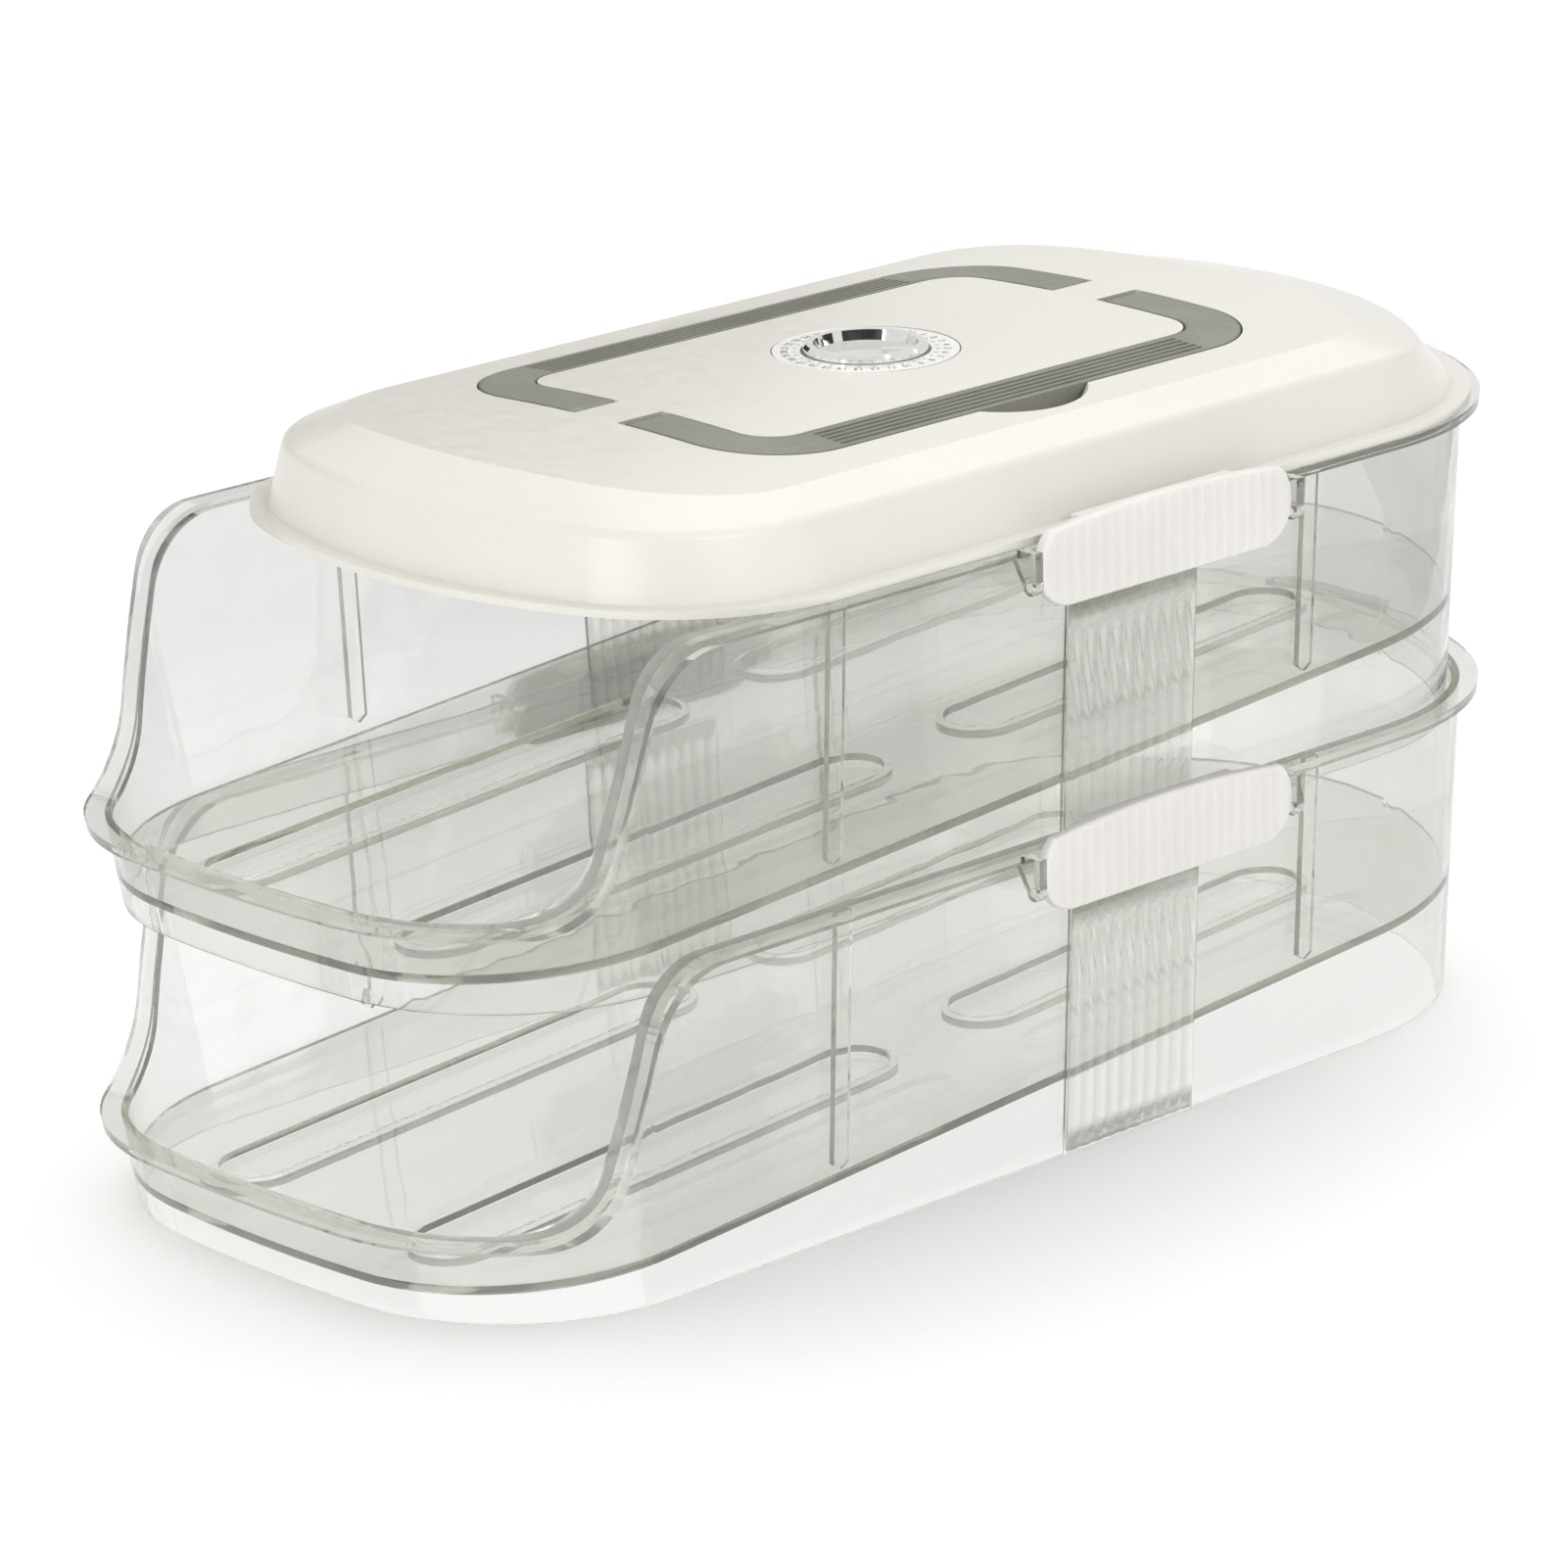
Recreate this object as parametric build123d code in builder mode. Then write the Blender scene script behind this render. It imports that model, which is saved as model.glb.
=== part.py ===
"""Stacking egg keeper: two clear trays, four flip clips and a crowned lid with two bails and a date dial.

Millimetres. X is the width, Y the length with the open front at -Y, Z is up.
The origin is at the middle of the footprint, on the surface that the keeper stands on.
"""
import os
from math import cos, hypot, radians, sin, sqrt, tan

from build123d import *

os.makedirs("parts", exist_ok=True)

# ---------------------------------------------------------------- trays
LENGTH = 334.3              # front lip to rear rim
BASE_WIDTH = 144.0          # across the foot of a tray
SIDE_DRAFT = 3.4            # how far each side wall leans out over its height
RIM_FLANGE = 4.0            # how far the rim stands out from the wall
RIM_THICKNESS = 2.2
TRAY_HEIGHT = 72.3
TIER_PITCH = 65.0           # rise from one tray to the next
WALL = 1.6
REAR_DRAFT = 2.1            # the same for the rear wall, enough for the next tray to nest inside
LIP_OVERHANG = 7.3          # front lip beyond the foot
LIP_HEIGHT = 19.4
FRONT_BULGE = 7.0           # depth of the curve across the front end
FRONT_CORNER = 46.0
REAR_BULGE = 44.0
REAR_CORNER = 62.0
MOUTH_TOP_SETBACK = 48.1    # from the lip to where the rim turns down towards it
MOUTH_FOOT_SETBACK = 33.4
MOUTH_TOP_RADIUS = 15.6
MOUTH_FOOT_RADIUS = 19.0

FLOOR_SLOPE = 4.0           # degrees, falling to the front so that eggs roll forward
FLOOR_FRONT_HEIGHT = 7.8    # top of the floor at the foot's front end
FLOOR_THICKNESS = 2.0

LANE_SPACING = 62.0         # between the centre lines of the two egg lanes
GROOVE_WIDTH = 16.0
GROOVE_DEPTH = 1.8
GROOVE_START = 16.0         # front end of the first groove, from the foot's front end
GROOVE_LENGTHS = (128.0, 104.0)
GROOVE_GAP = 24.0

RIB_WIDTH = 4.2
RIB_DEPTH = 1.4
RIB_ANCHORS = (-68.75, 70.75)  # along Y
RIB_CLEAR_OF_FLOOR = 3.0

# ---------------------------------------------------------------- flip clips
CLIP_Y = 19.25              # middle of each clip
CLIP_LENGTH = 75.4
CLIP_HEIGHT = 18.5
CLIP_THICKNESS = 2.4
CLIP_TAIL = 5.9             # below the pivot
CLIP_PIVOT_DROP = 7.4       # pivot below the rim's top
CLIP_RIM_GAP = 2.2          # inner face of the clip off the rim's edge
HOOK_THICKNESS = 1.5
HOOK_LENGTH = 46.0
HOOK_BITE = 0.9             # how far the hook reaches over the flange that it holds
HOOK_GAP = 0.7
HELD_FLANGE_INSET = 0.5     # held flange's edge inside the rim's edge
HELD_FLANGE_THICKNESS = 1.6
PIVOT_RADIUS = 0.95
PIVOT_CLEARANCE = 0.06
LUG_THICKNESS = 2.2
LUG_GAP = 0.3
LUG_WALL = 0.8
LUG_ROOT = 1.5              # how far the lug starts inside the rim's edge
LEDGE_LENGTH = 36.0
REAR_LEDGE_LENGTH = 36.0
REAR_LEDGE_REACH = 1.5      # beyond the outside of the rear wall at the rim
CLIP_END_ROUNDNESS = 0.49    # corner radius as a share of the height
CLIP_TOP_RADIUS = 290.0     # bow of the top edge
CLIP_EDGE_RADIUS = 1.1
CLIP_FLUTE_COUNT = 20
CLIP_FLUTE_PITCH = 3.4
CLIP_FLUTE_DEPTH = 0.22
CLIP_FLUTE_RADIUS = 5.0

PANEL_Y = 17.25             # middle of the fluted panel
PANEL_WIDTH = 39.0
PANEL_DEPTH = 0.6           # panel stands out from the wall
PANEL_TOP_DROP = 15.5       # top of the panel below the rim's top

# ---------------------------------------------------------------- lid
LID_FRONT_OVERHANG = 2.6    # lid's front edge before the turn of the rim
LID_FRONT_BULGE = 24.0
LID_FRONT_CORNER = 44.0
LID_REAR_INSET = 3.2        # lid's rear edge inside the tray's rear rim
LID_REAR_BULGE = 43.0
LID_REAR_CORNER = 61.0
LID_RISE = 22.2             # crown above the rim
LID_WALL = 2.2
LID_FLANGE = 4.0
LID_BAND_HEIGHT = 13.8
LID_BAND_LEAN = 19.0        # degrees
LID_BAND_ROUND = 3.0        # where the band turns into the shoulder
SHOULDER_FRONT_INSET = 7.8  # shoulder's lower edge inside the lid's edge, at both ends
SHOULDER_FRONT_BULGE = 20.0
SHOULDER_FRONT_CORNER = 38.0
SHOULDER_REAR_INSET = 20.0
SHOULDER_REAR_BULGE = 31.0
SHOULDER_REAR_CORNER = 26.0
LID_SHOULDER_LEAN = 67.2    # degrees, at the sides
CROWN_FRONT_INSET = 19.5    # the same for its upper edge, where the crown begins
CROWN_FRONT_BULGE = 20.0
CROWN_FRONT_CORNER = 36.0
CROWN_REAR_INSET = 48.0
CROWN_REAR_BULGE = 10.0
CROWN_REAR_CORNER = 25.0
CROWN_RADIUS = 619.0
LOCATING_RIB_DEPTH = 2.5
LOCATING_RIB_GAP = 0.6
LOCATING_RIB_WALL = 1.8

# ---------------------------------------------------------------- bails
BAIL_Y = 14.25              # middle of the bails
BAIL_LENGTH = 153.0
BAIL_REACH = 49.8           # outer edge of the grip from the middle of the lid
BAIL_TIP = 7.0              # arm ends from the middle of the lid
BAIL_WIDTH = 11.7
BAIL_THICKNESS = 5.4
BAIL_CORNER = 21.0
BAIL_INNER_CORNER = 9.5
BAIL_CLEARANCE = 0.5
BAIL_PIVOT_INSET = 4.5      # pivot from the arm's end
BAIL_PIN_RADIUS = 1.8
BAIL_PIN_LENGTH = 3.0
CHANNEL_WALL = 2.0
BAIL_GROOVES = 5
BAIL_GROOVE_WIDTH = 0.9
BAIL_GROOVE_DEPTH = 0.6
BAIL_GROOVE_PITCH = 1.9
BAIL_GROOVE_END = 2.0       # grooves stop this far from the corners
BAIL_TIP_RADIUS = 2.2
NOTCH_WIDTH = 33.0
NOTCH_REACH = 8.5
NOTCH_DEPTH = 5.0
NOTCH_LEAN = 30.0

# ---------------------------------------------------------------- date dial
DIAL_Y = 14.85
DIAL_RADIUS = 20.0
SCALE_INNER_RADIUS = 14.0
SCALE_THICKNESS = 2.0
SCALE_SEAT_DEPTH = 2.2
DIAL_CLEARANCE = 0.3
KNOB_RADIUS = 13.4
KNOB_HEIGHT = 3.3
KNOB_RIM_WIDTH = 2.2
KNOB_RIM_ROUND = 0.7
KNOB_DISH = 2.2             # depth of the knob's dish
KNOB_DISH_LEAN = 15.0       # degrees
KNOB_BASE = 0.35            # underside of the knob above its seat
STEM_RADIUS = 4.0
STEM_CLEARANCE = 0.06
STEM_TIP = 1.4              # stem below its groove
CIRCLIP_RADIUS = 7.5
CIRCLIP_THICKNESS = 1.0
CIRCLIP_GROOVE = 0.8
CIRCLIP_PLAY = 0.2
CIRCLIP_MOUTH = 5.0
POINTER_START = 3.5         # pointed end, from the dial's axis
POINTER_WIDTH = 4.6         # at its outer end
POINTER_RISE = 1.2
POINTER_ANGLE = 32.0        # degrees from +X

# ---------------------------------------------------------------- worked out
half_length = LENGTH / 2
lip_y = -half_length
rim_rear_wall_y = half_length - RIM_FLANGE
base_half = BASE_WIDTH / 2
rim_wall_half = base_half + SIDE_DRAFT
base_front_y = lip_y + LIP_OVERHANG
mouth_top_y = lip_y + MOUTH_TOP_SETBACK
mouth_foot_y = lip_y + MOUTH_FOOT_SETBACK
base_rear_y = rim_rear_wall_y - REAR_DRAFT
lip_share = LIP_HEIGHT / TRAY_HEIGHT
rim_front_wall_y = base_front_y - (LIP_OVERHANG - RIM_FLANGE) / lip_share
rim_half = rim_wall_half + RIM_FLANGE
nest_depth = TRAY_HEIGHT - TIER_PITCH
held_half = rim_half - HELD_FLANGE_INSET
lid_front_y = mouth_top_y - LID_FRONT_OVERHANG
lid_rear_y = half_length - LID_REAR_INSET
clip_inner_x = rim_half + CLIP_RIM_GAP
pivot_x = clip_inner_x + CLIP_THICKNESS / 2
clip_foot_drop = CLIP_PIVOT_DROP + CLIP_TAIL
tiers = {"lower": 0.0, "upper": TIER_PITCH}
sides = {"right": 1, "left": -1}
lid_z = TIER_PITCH + TRAY_HEIGHT
crown_z = lid_z + LID_RISE
shoulder_rise = LID_RISE - HELD_FLANGE_THICKNESS - LID_BAND_HEIGHT
shoulder_half = held_half - LID_FLANGE - LID_BAND_HEIGHT * tan(radians(LID_BAND_LEAN))
seat_z = crown_z - SCALE_SEAT_DEPTH
knob_base_z = seat_z + KNOB_BASE
knob_dish_z = knob_base_z + KNOB_HEIGHT - KNOB_DISH
dish_mouth_radius = KNOB_RADIUS - KNOB_RIM_WIDTH
dish_floor_radius = dish_mouth_radius - KNOB_DISH * tan(radians(KNOB_DISH_LEAN))
groove_radius = STEM_RADIUS - CIRCLIP_GROOVE
circlip_z = seat_z - LID_WALL - CIRCLIP_PLAY - CIRCLIP_THICKNESS
bail_pivot_x = BAIL_TIP + BAIL_PIVOT_INSET
bail_pivot_z = crown_z - BAIL_THICKNESS / 2
pocket_radius = hypot(BAIL_PIVOT_INSET, BAIL_THICKNESS / 2) + BAIL_CLEARANCE
far = 2 * LENGTH            # longer than anything in the keeper


def grown_bulge(half_width, bulge, grow):
    """Depth of an end's arc once the whole outline has grown."""
    radius = (half_width**2 + bulge**2) / (2 * bulge) + grow
    return radius - sqrt(radius**2 - (half_width + grow) ** 2)


def plan(z, half_width, front_y, rear_y, front, rear, grow=0.0):
    """Rounded oblong with bulged ends; front and rear are (bulge, corner radius)."""
    side = half_width + grow
    low = front_y - grow
    high = rear_y + grow
    low_side = low + grown_bulge(half_width, front[0], grow)
    high_side = high - grown_bulge(half_width, rear[0], grow)
    with BuildSketch(Plane.XY.offset(z)) as shape:
        with BuildLine():
            Line((side, low_side), (side, high_side))
            ThreePointArc((side, high_side), (0, high), (-side, high_side))
            Line((-side, high_side), (-side, low_side))
            ThreePointArc((-side, low_side), (0, low), (side, low_side))
        make_face()
        corners = shape.vertices().sort_by(Axis.Y)
        fillet(corners[:2], front[1] + grow)
        fillet(shape.vertices().sort_by(Axis.Y)[-2:], rear[1] + grow)
    return shape.sketch


def tray_plan(z, share, grow):
    """Outline of a tray wall at this share of its height."""
    half_width = base_half + SIDE_DRAFT * share
    front_y = base_front_y + (rim_front_wall_y - base_front_y) * share
    rear_y = base_rear_y + REAR_DRAFT * share
    front = (FRONT_BULGE, FRONT_CORNER)
    rear = (REAR_BULGE, REAR_CORNER)
    return plan(z, half_width, front_y, rear_y, front, rear, grow)


def tray_body(grow):
    """Solid between the foot and the rim, grown sideways."""
    with BuildPart() as body:
        add(tray_plan(0, 0, grow))
        add(tray_plan(TRAY_HEIGHT, 1, grow))
        loft(ruled=True)
    return body.part


def mouth_line(drop):
    """Points of the rim line seen from the side, lowered by drop."""
    top = TRAY_HEIGHT - drop
    foot = LIP_HEIGHT - drop
    lean = (mouth_foot_y - mouth_top_y) / (TRAY_HEIGHT - LIP_HEIGHT)
    shift = drop * (sqrt(1 + lean**2) + lean)
    top_y = mouth_top_y + shift
    foot_y = mouth_foot_y + shift
    return [(half_length * 2, top), (top_y, top), (foot_y, foot), (-half_length * 2, foot)]


def above_mouth(drop):
    """Everything over the rim line."""
    line = mouth_line(drop)
    with BuildPart() as region:
        with BuildSketch(Plane.YZ):
            with BuildLine():
                FilletPolyline(*line, radius=[MOUTH_TOP_RADIUS + drop, MOUTH_FOOT_RADIUS - drop])
                roof = 2 * TRAY_HEIGHT
                Polyline(line[-1], (line[-1][0], roof), (line[0][0], roof), line[0])
            make_face()
        extrude(amount=far, both=True)
    return region.part


def floor_height(y):
    """Top of the floor above the foot."""
    return FLOOR_FRONT_HEIGHT + (y - base_front_y) * tan(radians(FLOOR_SLOPE))


def over_floor(drop):
    """Everything over the floor's top, lowered by drop."""
    front_y = -half_length * 2
    rear_y = half_length * 2
    front_z = floor_height(front_y) - drop
    rear_z = floor_height(rear_y) - drop
    roof = 3 * TRAY_HEIGHT
    with BuildPart() as region:
        with BuildSketch(Plane.YZ):
            with BuildLine():
                Polyline((front_y, front_z), (rear_y, rear_z), (rear_y, roof), (front_y, roof), close=True)
            make_face()
        extrude(amount=far, both=True)
    return region.part


def grooves(grow, top, bottom):
    """Long round-ended blocks of the egg lanes, between two offsets from the floor."""
    floor_plane = Plane(
        origin=(0, base_front_y, FLOOR_FRONT_HEIGHT),
        x_dir=(1, 0, 0),
        z_dir=(0, -sin(radians(FLOOR_SLOPE)), cos(radians(FLOOR_SLOPE))),
    )
    with BuildPart() as blocks:
        with BuildSketch(floor_plane.offset(bottom)):
            start = GROOVE_START
            for length in GROOVE_LENGTHS:
                middle = start + length / 2
                with Locations((-LANE_SPACING / 2, middle), (LANE_SPACING / 2, middle)):
                    SlotOverall(length + 2 * grow, GROOVE_WIDTH + 2 * grow, rotation=90)
                start += length + GROOVE_GAP
        extrude(amount=top - bottom)
    return blocks.part


def panel_pads():
    """Raised pads of the fluted panels on both side walls."""
    top = TRAY_HEIGHT - PANEL_TOP_DROP
    with BuildPart() as pads:
        with BuildSketch(Plane.YZ):
            with Locations((PANEL_Y, top / 2)):
                Rectangle(PANEL_WIDTH, top)
        extrude(amount=far, both=True)
        add(tray_body(PANEL_DEPTH), mode=Mode.INTERSECT)
    return pads.part


def wall_ribs():
    """Upright ribs with pointed feet on both side walls."""
    top = TRAY_HEIGHT - RIM_THICKNESS / 2
    with BuildPart() as ribs:
        with BuildSketch(Plane.YZ):
            for y in RIB_ANCHORS:
                foot = floor_height(y) + RIB_CLEAR_OF_FLOOR
                left = y - RIB_WIDTH / 2
                right = y + RIB_WIDTH / 2
                with BuildLine():
                    Polyline((right, foot), (right, top), (left, top), (left, foot))
                    Polyline((left, foot), (y, foot - RIB_WIDTH / 3), (right, foot))
                make_face()
        extrude(amount=far, both=True)
        add(tray_body(RIB_DEPTH), mode=Mode.INTERSECT)
    return ribs.part


def egg_space():
    """Hollow over the floor."""
    with BuildPart() as space:
        add(tray_body(-WALL))
        add(over_floor(0), mode=Mode.INTERSECT)
    return space.part


def skirt_space():
    """Hollow under the floor."""
    with BuildPart() as space:
        add(tray_body(-WALL))
        add(over_floor(FLOOR_THICKNESS), mode=Mode.SUBTRACT)
    return space.part


def rim_flange():
    """Rim that stands out from the wall and follows the mouth down to the lip."""
    with BuildPart() as rim:
        add(tray_body(RIM_FLANGE))
        add(above_mouth(RIM_THICKNESS), mode=Mode.INTERSECT)
    return rim.part


def ledges():
    """Ledges of a stacked tray that rest on the rim below and are held by its clips."""
    rear_y = rim_rear_wall_y + REAR_LEDGE_REACH
    with BuildPart() as rests:
        with BuildSketch(Plane.XY.offset(nest_depth)):
            with Locations((0, CLIP_Y)):
                RectangleRounded(2 * held_half, LEDGE_LENGTH, HELD_FLANGE_THICKNESS)
            with Locations((0, rear_y - base_half / 2)):
                RectangleRounded(REAR_LEDGE_LENGTH, base_half, HELD_FLANGE_THICKNESS)
        extrude(amount=HELD_FLANGE_THICKNESS)
    return rests.part


def lugs():
    """Lugs that hang from the rim's edge at both ends of each clip."""
    pivot_z = TRAY_HEIGHT - CLIP_PIVOT_DROP
    lug_radius = PIVOT_RADIUS + PIVOT_CLEARANCE + LUG_WALL
    reach = CLIP_LENGTH / 2 + LUG_GAP
    root_x = rim_half - LUG_ROOT
    outer_x = pivot_x + lug_radius
    with BuildPart() as pairs:
        for low_y in (CLIP_Y - reach - LUG_THICKNESS, CLIP_Y + reach):
            with BuildSketch(Plane.XZ.offset(-low_y - LUG_THICKNESS)):
                with BuildLine():
                    Polyline(
                        (root_x, TRAY_HEIGHT),
                        (outer_x, TRAY_HEIGHT),
                        (outer_x, pivot_z),
                        (pivot_x - lug_radius, pivot_z),
                        (root_x, TRAY_HEIGHT - RIM_THICKNESS),
                        close=True,
                    )
                make_face()
                with Locations((pivot_x, pivot_z)):
                    Circle(lug_radius)
            extrude(amount=LUG_THICKNESS)
        mirror(about=Plane.YZ)
    return pairs.part


def make_tray(stacked):
    """Clear tray with a sloping floor, a turned-down front and lugs for its two clips."""
    pivot_z = TRAY_HEIGHT - CLIP_PIVOT_DROP
    bottom_of_grooves = GROOVE_DEPTH + FLOOR_THICKNESS
    with BuildPart() as tray:
        add(tray_body(0))
        add(rim_flange())
        add(above_mouth(0), mode=Mode.SUBTRACT)
        add(wall_ribs())
        add(panel_pads())
        if stacked:
            add(ledges())
        add(lugs())
        add(egg_space(), mode=Mode.SUBTRACT)
        add(skirt_space(), mode=Mode.SUBTRACT)
        add(grooves(WALL, 0, -bottom_of_grooves))
        add(grooves(0, FLOOR_THICKNESS, -GROOVE_DEPTH), mode=Mode.SUBTRACT)
        with BuildSketch(Plane.XZ.offset(-CLIP_Y)):
            for side in sides.values():
                with Locations((side * pivot_x, pivot_z)):
                    Circle(PIVOT_RADIUS + PIVOT_CLEARANCE)
        extrude(amount=CLIP_LENGTH, both=True, mode=Mode.SUBTRACT)
    return tray.part


def make_clip(rim_z):
    """Flip clip on the right side: a fluted plate with a hook behind its top and two stub pivots."""
    pivot_z = rim_z - CLIP_PIVOT_DROP
    foot_z = rim_z - clip_foot_drop
    top_z = foot_z + CLIP_HEIGHT
    hook_z = rim_z + HELD_FLANGE_THICKNESS + HOOK_GAP
    outer_x = clip_inner_x + CLIP_THICKNESS
    hook_x = held_half - HOOK_BITE
    stub = CLIP_LENGTH / 2 + LUG_GAP + LUG_THICKNESS
    with BuildPart() as clip:
        with BuildSketch(Plane.YZ.offset(clip_inner_x)):
            with Locations((CLIP_Y, (foot_z + top_z) / 2)):
                RectangleRounded(CLIP_LENGTH, CLIP_HEIGHT, CLIP_HEIGHT * CLIP_END_ROUNDNESS)
            with Locations((CLIP_Y, top_z - CLIP_TOP_RADIUS)):
                Circle(CLIP_TOP_RADIUS, mode=Mode.INTERSECT)
        extrude(amount=CLIP_THICKNESS)
        fillet(clip.faces().sort_by(Axis.X)[-1].edges(), CLIP_EDGE_RADIUS)
        with BuildSketch(Plane.XY.offset(foot_z)):
            with Locations((outer_x - CLIP_FLUTE_DEPTH + CLIP_FLUTE_RADIUS, CLIP_Y)):
                with GridLocations(0, CLIP_FLUTE_PITCH, 1, CLIP_FLUTE_COUNT):
                    Circle(CLIP_FLUTE_RADIUS)
        extrude(amount=CLIP_HEIGHT, mode=Mode.SUBTRACT)
        with BuildSketch(Plane.XY.offset(hook_z)):
            with Locations(((hook_x + pivot_x) / 2, CLIP_Y)):
                Rectangle(pivot_x - hook_x, HOOK_LENGTH)
        extrude(amount=HOOK_THICKNESS)
        with BuildSketch(Plane.XZ.offset(-CLIP_Y)):
            with Locations((pivot_x, pivot_z)):
                Circle(PIVOT_RADIUS)
        extrude(amount=stub, both=True)
    return clip.part


def under_crown(depth):
    """Everything below the lid's crowned top, lowered by depth."""
    with BuildPart() as region:
        with BuildSketch(Plane.XZ):
            with Locations((0, crown_z - CROWN_RADIUS)):
                Circle(CROWN_RADIUS - depth)
        extrude(amount=far, both=True)
    return region.part


def lid_outline(z, inset):
    """Outline of the lid's edge, drawn in by inset."""
    grow = RIM_FLANGE - HELD_FLANGE_INSET
    front = (LID_FRONT_BULGE, LID_FRONT_CORNER)
    rear = (LID_REAR_BULGE, LID_REAR_CORNER)
    return plan(z, rim_wall_half, lid_front_y + grow, lid_rear_y - grow, front, rear, grow - inset)


def shoulder_edge(thinner):
    """Outline where the lid's band turns into its shoulder."""
    z = lid_z + HELD_FLANGE_THICKNESS + LID_BAND_HEIGHT - thinner / 2
    front = (SHOULDER_FRONT_BULGE, SHOULDER_FRONT_CORNER)
    rear = (SHOULDER_REAR_BULGE, SHOULDER_REAR_CORNER)
    front_y = lid_front_y + SHOULDER_FRONT_INSET
    rear_y = lid_rear_y - SHOULDER_REAR_INSET
    return plan(z, shoulder_half, front_y, rear_y, front, rear, -thinner)


def crown_edge(thinner):
    """Outline where the lid's shoulder turns into its crown, at the crown's own height."""
    half_width = shoulder_half - shoulder_rise * tan(radians(LID_SHOULDER_LEAN))
    front = (CROWN_FRONT_BULGE, CROWN_FRONT_CORNER)
    rear = (CROWN_REAR_BULGE, CROWN_REAR_CORNER)
    front_y = lid_front_y + CROWN_FRONT_INSET
    rear_y = lid_rear_y - CROWN_REAR_INSET
    return plan(crown_z, half_width, front_y, rear_y, front, rear, -thinner)


def lid_dome(low_z, thinner):
    """Sloping band, shoulder and crown of the lid, each made smaller by thinner."""
    with BuildPart() as dome:
        add(lid_outline(low_z, LID_FLANGE + thinner))
        add(shoulder_edge(thinner))
        loft(ruled=True)
        add(shoulder_edge(thinner))
        add(crown_edge(thinner))
        loft(ruled=True)
        turn_z = shoulder_edge(thinner).bounding_box().max.Z
        fillet(dome.edges().filter_by_position(Axis.Z, turn_z, turn_z), LID_BAND_ROUND)
        add(under_crown(thinner), mode=Mode.INTERSECT)
    return dome.part


def bail_outline(z, grow):
    """U shape of the right bail, seen from above."""
    tip = BAIL_TIP - grow
    reach = BAIL_REACH + grow
    inner_reach = BAIL_REACH - BAIL_WIDTH - grow
    span = BAIL_LENGTH + 2 * grow
    inner_span = BAIL_LENGTH - 2 * BAIL_WIDTH - 2 * grow
    with BuildSketch(Plane.XY.offset(z)) as window:
        with Locations((inner_reach / 2, BAIL_Y)):
            Rectangle(inner_reach, inner_span)
        fillet(window.vertices().sort_by(Axis.X)[-2:], BAIL_INNER_CORNER - grow)
    with BuildSketch(Plane.XY.offset(z)) as outline:
        with Locations(((tip + reach) / 2, BAIL_Y)):
            Rectangle(reach - tip, span)
        fillet(outline.vertices().sort_by(Axis.X)[-2:], BAIL_CORNER + grow)
        add(window.sketch, mode=Mode.SUBTRACT)
    return outline.sketch


def bail_layer(grow, top, bottom):
    """Right bail's U shape between two depths under the crown."""
    with BuildPart() as layer:
        add(bail_outline(crown_z - LID_RISE, grow))
        extrude(amount=2 * LID_RISE)
        add(under_crown(top), mode=Mode.INTERSECT)
        add(under_crown(bottom), mode=Mode.SUBTRACT)
    return layer.part


def bail_barrels(radius, beyond_arm, length):
    """Round bars on the bail's pivot axis: from beyond each arm's outer face, length inwards."""
    ends = (BAIL_Y - BAIL_LENGTH / 2 - beyond_arm, BAIL_Y + BAIL_LENGTH / 2 + beyond_arm - length)
    with BuildPart() as barrels:
        for low_y in ends:
            with BuildSketch(Plane.XZ.offset(-low_y - length)):
                with Locations((bail_pivot_x, bail_pivot_z)):
                    Circle(radius)
            extrude(amount=length)
    return barrels.part


def make_bail():
    """Right bail: a flat crowned U with grip grooves and a stub pivot on each arm."""
    with BuildPart() as bail:
        add(bail_layer(0, 0, BAIL_THICKNESS))
        tip_edges = bail.edges().filter_by(Axis.Y).group_by(Axis.X)[0]
        fillet(tip_edges, BAIL_TIP_RADIUS)
        grip_x = BAIL_REACH - BAIL_WIDTH / 2
        grip_length = BAIL_LENGTH - 2 * BAIL_CORNER - 2 * BAIL_GROOVE_END
        with BuildSketch(Plane.XY.offset(crown_z - LID_RISE)):
            with Locations((grip_x, BAIL_Y)):
                with GridLocations(BAIL_GROOVE_PITCH, 0, BAIL_GROOVES, 1):
                    SlotOverall(grip_length, BAIL_GROOVE_WIDTH, rotation=90)
        groove_blocks = extrude(amount=2 * LID_RISE, mode=Mode.PRIVATE)
        add(groove_blocks - under_crown(BAIL_GROOVE_DEPTH), mode=Mode.SUBTRACT)
        add(bail_barrels(BAIL_PIN_RADIUS, BAIL_PIN_LENGTH, BAIL_PIN_LENGTH + BAIL_WIDTH / 2))
    return bail.part


def notch(grow):
    """Finger scoop beside the right bail's grip."""
    radius = (NOTCH_WIDTH**2 / 4 + NOTCH_REACH**2) / (2 * NOTCH_REACH)
    middle_x = BAIL_REACH + NOTCH_REACH - radius
    surface_z = crown_z - BAIL_REACH**2 / (2 * CROWN_RADIUS)
    foot_radius = radius - NOTCH_DEPTH * tan(radians(NOTCH_LEAN))
    with BuildPart() as scoop:
        with BuildSketch(Plane.XY.offset(surface_z - NOTCH_DEPTH - grow)):
            with Locations((middle_x, BAIL_Y)):
                Circle(foot_radius + grow)
        with BuildSketch(Plane.XY.offset(surface_z)):
            with Locations((middle_x, BAIL_Y)):
                Circle(radius + grow)
        loft()
        with BuildSketch(Plane.XY.offset(surface_z)):
            with Locations((middle_x, BAIL_Y)):
                Circle(radius + grow)
        extrude(amount=LID_RISE)
        split(bisect_by=Plane.YZ.offset(BAIL_REACH - BAIL_WIDTH / 2), keep=Keep.TOP)
    return scoop.part


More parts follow.
